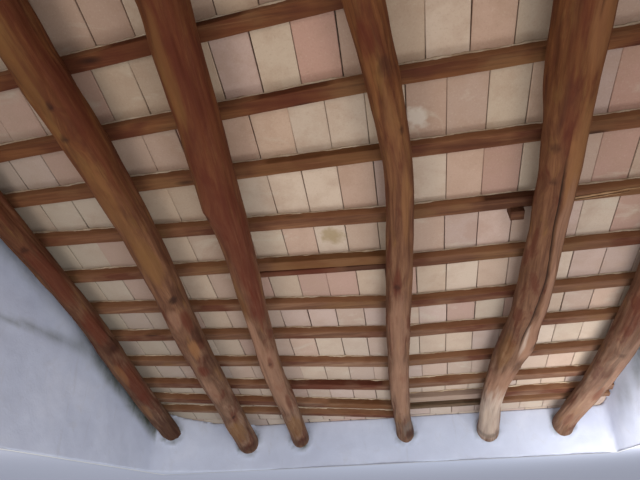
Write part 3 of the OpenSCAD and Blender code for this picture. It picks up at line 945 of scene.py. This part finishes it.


# One skin of plaster over the four walls. collar is how far it is dragged out over the log ends, below and
# above how far the walls are drawn past the cut and the bricks, the damp reach how far a wall beside a log is
# darkened, partly as damp stain and partly as painted shade, and streak a stain as (metres up the slope,
# distance from the first log)
walls = {"mesh": 0.0215, "relief": 0.006, "fine": 0.002, "collar": 0.010, "collarReach": 0.035,
         "overlap": 0.03, "below": 0.06, "above": 0.025, "outerZone": 0.1,
         "dampAndShadeReach": {1: 0.055, 6: 0.22},
         "streak": [(1.2, 0.05), (1.4, 0.09), (1.56, 0.13), (1.70, 0.17), (1.85, 0.235), (2.3, 0.38),
                    (3.2, 0.5)]}


def logAxis(number):
    rings = readRings(nodes["log_%d" % number])
    return [(s, x, z, sum(r for _, r in spokes) / len(spokes)) for s, x, z, spokes in rings]


def axisAt(stops, s):
    for (s0, x0, z0, r0), (s1, x1, z1, r1) in zip(stops, stops[1:]):
        if s <= s1:
            t = max(0.0, (s - s0) / (s1 - s0))
            return x0 + (x1 - x0) * t, z0 + (z1 - z0) * t, r0 + (r1 - r0) * t
    return stops[-1][1:]


def logGap(axes, p):
    # Distance from a point in the roof's frame to the nearest log, taken as round, and that log's number
    best = (9.0, 0)
    for number, stops in axes.items():
        x, z, r = axisAt(stops, -p.y)
        best = min(best, (math.hypot(p.x - x, p.z - z) - r, number))
    return best


def fillPockets(bm, axes):
    # Takes out the pockets round the log ends, so that the plaster closes up to the logs
    inside = [f for f in bm.faces if all(logGap(axes, toSlope @ v.co)[0] < 0.012 for v in f.verts)]
    bmesh.ops.delete(bm, geom=inside, context="FACES")
    if openEdges(bm):
        bmesh.ops.holes_fill(bm, edges=openEdges(bm), sides=0)


def wallBody(name, axes):
    # A wall without pockets, drawn out a little past the floor, the bricks and its neighbours
    bm = cadCopy(name)
    fillPockets(bm, axes)
    low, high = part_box(name)
    for v in bm.verts:
        slope = toSlope @ v.co
        if v.co.z < 0.001:
            v.co.z -= walls["below"]
        elif slope.z > -0.001:
            v.co.z += walls["above"]
        if name in ("left_wall", "right_wall"):
            end = 1 if v.co.y > high[1] - 0.001 else -1 if v.co.y < low[1] + 0.001 else 0
            v.co.y += walls["overlap"] * end
    return bm


def makePlaster(material, axes):
    # The walls are joined by a voxel remesh, roughened, and kept inside the solids' outer faces and bricks
    bm = bmesh.new()
    for body in wallNames:
        joinInto(bm, wallBody(body, axes))
    source = linkMesh("wallSource", bm)
    modifier = source.modifiers.new("remesh", "REMESH")
    modifier.mode = "VOXEL"
    modifier.voxel_size = walls["mesh"]
    graph = bpy.context.evaluated_depsgraph_get()
    mesh = bpy.data.meshes.new_from_object(source.evaluated_get(graph))
    bpy.data.objects.remove(source)
    bm = bmesh.new()
    bm.from_mesh(mesh)
    bpy.data.meshes.remove(mesh)
    bmesh.ops.smooth_vert(bm, verts=bm.verts, factor=0.5, use_axis_x=True, use_axis_y=True, use_axis_z=True)
    bm.normal_update()
    dampAndShade = bm.verts.layers.float.new("dampAndShade")
    zone = walls["outerZone"]
    moved = []
    for v in bm.verts:
        p = v.co
        lump = wave(p.x * 3.1, p.y * 3.1, p.z * 3.1, 1) + 0.5 * wave(p.x * 8, p.y * 8, p.z * 8, 2)
        fine = wave(p.x * 24, p.y * 24, p.z * 24, 3)
        push = walls["relief"] * (lump - 0.75) + walls["fine"] * (fine - 0.4)
        slope = toSlope @ p
        gap, number = logGap(axes, slope)
        indoors = all(outsideLow[i] + zone < p[i] < outsideHigh[i] - zone for i in range(2))
        # Near the logs the wall is darkened, partly as damp stain and partly as painted shade where log and
        # wall meet
        if indoors and abs(v.normal.y) > 0.5:
            push += walls["collar"] * (0.75 + fine) * (1 - smoothStep(gap, 0.004, walls["collarReach"]))
            v[dampAndShade] = 0.8 * (1 - smoothStep(gap, 0.0, 0.03)) * (0.6 + fine)
        elif number in walls["dampAndShadeReach"] and indoors:
            s = -slope.y
            reach = 0.03 + walls["dampAndShadeReach"][number] * (0.6 + 0.4 * max(-1.0, lump))
            v[dampAndShade] = 1 - smoothStep(gap, 0.01, reach)
            if number == 1:
                band = bell((gap - onPath(walls["streak"], s) - 0.015 * (lump - 0.75)) / 0.018)
                band *= smoothStep(s, 1.1, 1.3) * (1 - smoothStep(s, 2.5, 3.2))
                v[dampAndShade] = max(v[dampAndShade] * (1 - 0.5 * smoothStep(s, 1.35, 1.7)), 0.5 * band)
        moved.append(p + v.normal * push)
    for v, p in zip(bm.verts, moved):
        inside = [max(outsideLow[i], min(outsideHigh[i], p[i])) for i in range(2)]
        slope = toSlope @ Vector((*inside, p.z))
        slope.z = min(slope.z, -0.0003)
        v.co = slopeFrame @ slope
    cutPlane(bm, (0, 0, 0), (0, 0, -1), clear_outer=True)
    smoothFaces(bm)
    bmesh.ops.triangle_fill(bm, use_beauty=True, edges=openEdges(bm), normal=(0, 0, -1))
    addPiece("wallPlaster", bm, material, list(wallNames))


def wallMaterial():
    material, tree, shader = newMaterial("limePlaster", 0.9, 0.1)
    point = objectPoint(tree)
    cloud = noiseValue(tree, point, 2.2, 4, 0.6)
    blotch = noiseValue(tree, point, 9, 5, 0.62, 0.5)
    grit = noiseValue(tree, point, 95, 4, 0.65)
    runs = noiseValue(tree, objectPoint(tree, (16, 16, 2.2)), 1.0, 4, 0.6, 0.4)
    color = colorRamp(tree, cloud, [(0.3, (188, 193, 212)), (0.55, (200, 205, 223)), (0.75, (214, 217, 232))])
    color = layTones(tree, color, [
        (blotch, 0.56, 0.76, 0.3, (182, 180, 184)), (runs, 0.62, 0.78, 0.25, (166, 162, 162)),
        (grit, 0.62, 0.8, 0.2, (160, 156, 158))])
    # One darker tone near the logs: partly damp stain, partly painted shade
    dampAndShade = calculate(tree, "MULTIPLY", attribute(tree, "dampAndShade"), remap(tree, blotch, 0.3, 0.6, 0.6, 1.0))
    color = blendColor(tree, dampAndShade, color, shade(88, 90, 76))
    paint(tree, shader, color, addShare(tree, blotch, grit, 0.4), 0.35, 0.005)
    return material


wallNames = ("low_wall", "high_wall", "left_wall", "right_wall")
outsideLow = [min(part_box(name)[0][i] for name in wallNames) for i in range(2)]
outsideHigh = [max(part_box(name)[1][i] for name in wallNames) for i in range(2)]
logAxes = {number: logAxis(number) for number in range(1, 7)}
makePlaster(wallMaterial(), logAxes)
print("walls done")


tiles = {"columns": 16, "radius": 0.085, "thickness": 0.014, "exposed": 0.36, "overlap": 0.09,
         "narrowBy": 0.015}
# Cover tiles arch up, and channel tiles, between their columns, arch down. reach is half the arc in degrees,
# eave how far the first row is set back, and fade how dark or light its clay may be
tileKinds = [
    {"arch": 1, "between": 0, "height": 0.022, "reach": 90.0, "eave": (0.002, 0.012), "fade": (0.92, 1.06)},
    {"arch": -1, "between": 1, "height": 0.085, "reach": 58.0, "eave": (0.004, 0.016), "fade": (0.86, 0.98)},
]
tileTones = [(176, 116, 84), (186, 130, 96), (164, 104, 78), (192, 142, 110), (172, 124, 100), (158, 98, 74)]


def addTile(bm, x, height, s0, s1, kind, tone):
    # Each tile is narrower at one end, so that the next one fits over or under it
    shell = bmesh.new()
    bmesh.ops.create_grid(shell, x_segments=9, y_segments=3, size=0.5)
    layer = shell.verts.layers.float_color.new("tileTone")
    thick, arch = tiles["thickness"], kind["arch"]
    for v in shell.verts:
        t = v.co.y + 0.5
        angle = (v.co.x * 2) * math.radians(kind["reach"])
        radius = tiles["radius"] - (tiles["narrowBy"] * (t if arch > 0 else 1 - t)) - thick
        s = s0 + (s1 - s0) * t
        v.co = (x + radius * math.sin(angle), -s, height + arch * radius * math.cos(angle))
    # The faces are turned to the tile's axis, so that the clay is added outside them
    shell.normal_update()
    side = shell.faces[:][0]
    middle = side.calc_center_median()
    if side.normal.x * (middle.x - x) + side.normal.z * (middle.z - height) > 0:
        bmesh.ops.reverse_faces(shell, faces=shell.faces[:])
    bmesh.ops.solidify(shell, geom=shell.faces[:], thickness=thick)
    faceOutward(shell)
    for v in shell.verts:
        v[layer] = tone
    joinInto(bm, shell)


def makeTiles(material):
    rng = random.Random(7)
    slopePoints = [toSlope @ v.co for v in nodes["tile_cover"].data.vertices]
    lowX, highX = min(p.x for p in slopePoints), max(p.x for p in slopePoints)
    lowS, highS = -max(p.y for p in slopePoints), -min(p.y for p in slopePoints)
    base = roof["brickThickness"] + roof["mortarThickness"]
    step = (highX - lowX - 2 * tiles["radius"]) / (tiles["columns"] - 1)
    rows = int(round((highS - lowS) / tiles["exposed"]))
    exposed = (highS - lowS) / rows
    bm = bmesh.new()
    bm.verts.layers.float_color.new("tileTone")
    for column in range(tiles["columns"]):
        for kind in tileKinds:
            if kind["between"] and column == tiles["columns"] - 1:
                continue
            x = lowX + tiles["radius"] + column * step + kind["between"] * step / 2
            for row in range(rows):
                start = rng.uniform(-0.006, 0.006) if row else rng.uniform(*kind["eave"])
                s0 = lowS + row * exposed + start
                s1 = min(highS - 0.002, s0 + exposed + tiles["overlap"])
                tone = shade(*[min(255, c * rng.uniform(*kind["fade"])) for c in rng.choice(tileTones)])
                addTile(bm, x, base + kind["height"], s0, s1, kind, tone)
    turnBy(bm, slopeFrame)
    addPiece("roofTiles", bm, material, ["tile_cover"])


def tileMaterial():
    material, tree, shader = newMaterial("roofTileClay", 0.8, 0.25)
    point = objectPoint(tree)
    cloud = noiseValue(tree, point, 14, 4, 0.6)
    spots = noiseValue(tree, point, 46, 5, 0.7)
    grit = noiseValue(tree, point, 190, 3, 0.6)
    color = layTones(tree, attribute(tree, "tileTone", "Color"), [
        (cloud, 0.45, 0.68, 0.55, (132, 84, 64)), (spots, 0.6, 0.72, 0.6, (160, 156, 138)),
        (spots, 0.4, 0.3, 0.5, (92, 72, 60))])
    paint(tree, shader, color, addShare(tree, spots, grit, 0.4), 0.4, 0.003)
    return material


def mortarMaterial():
    material, tree, shader = newMaterial("mudMortar", 0.95, 0.1)
    point = objectPoint(tree)
    cloud = noiseValue(tree, point, 7, 4, 0.6)
    grit = noiseValue(tree, point, 120, 4, 0.7)
    color = colorRamp(tree, cloud, [(0.3, (128, 112, 92)), (0.7, (166, 148, 124))])
    color = layTones(tree, color, [(grit, 0.55, 0.75, 0.5, (104, 90, 74))])
    paint(tree, shader, color, addShare(tree, cloud, grit, 0.5), 0.8, 0.006)
    return material


makeTiles(tileMaterial())
mortar = mortarMaterial()
nodes["mortar_bed"].data.materials.clear()
nodes["mortar_bed"].data.materials.append(mortar)
print("tiles and mortar done")
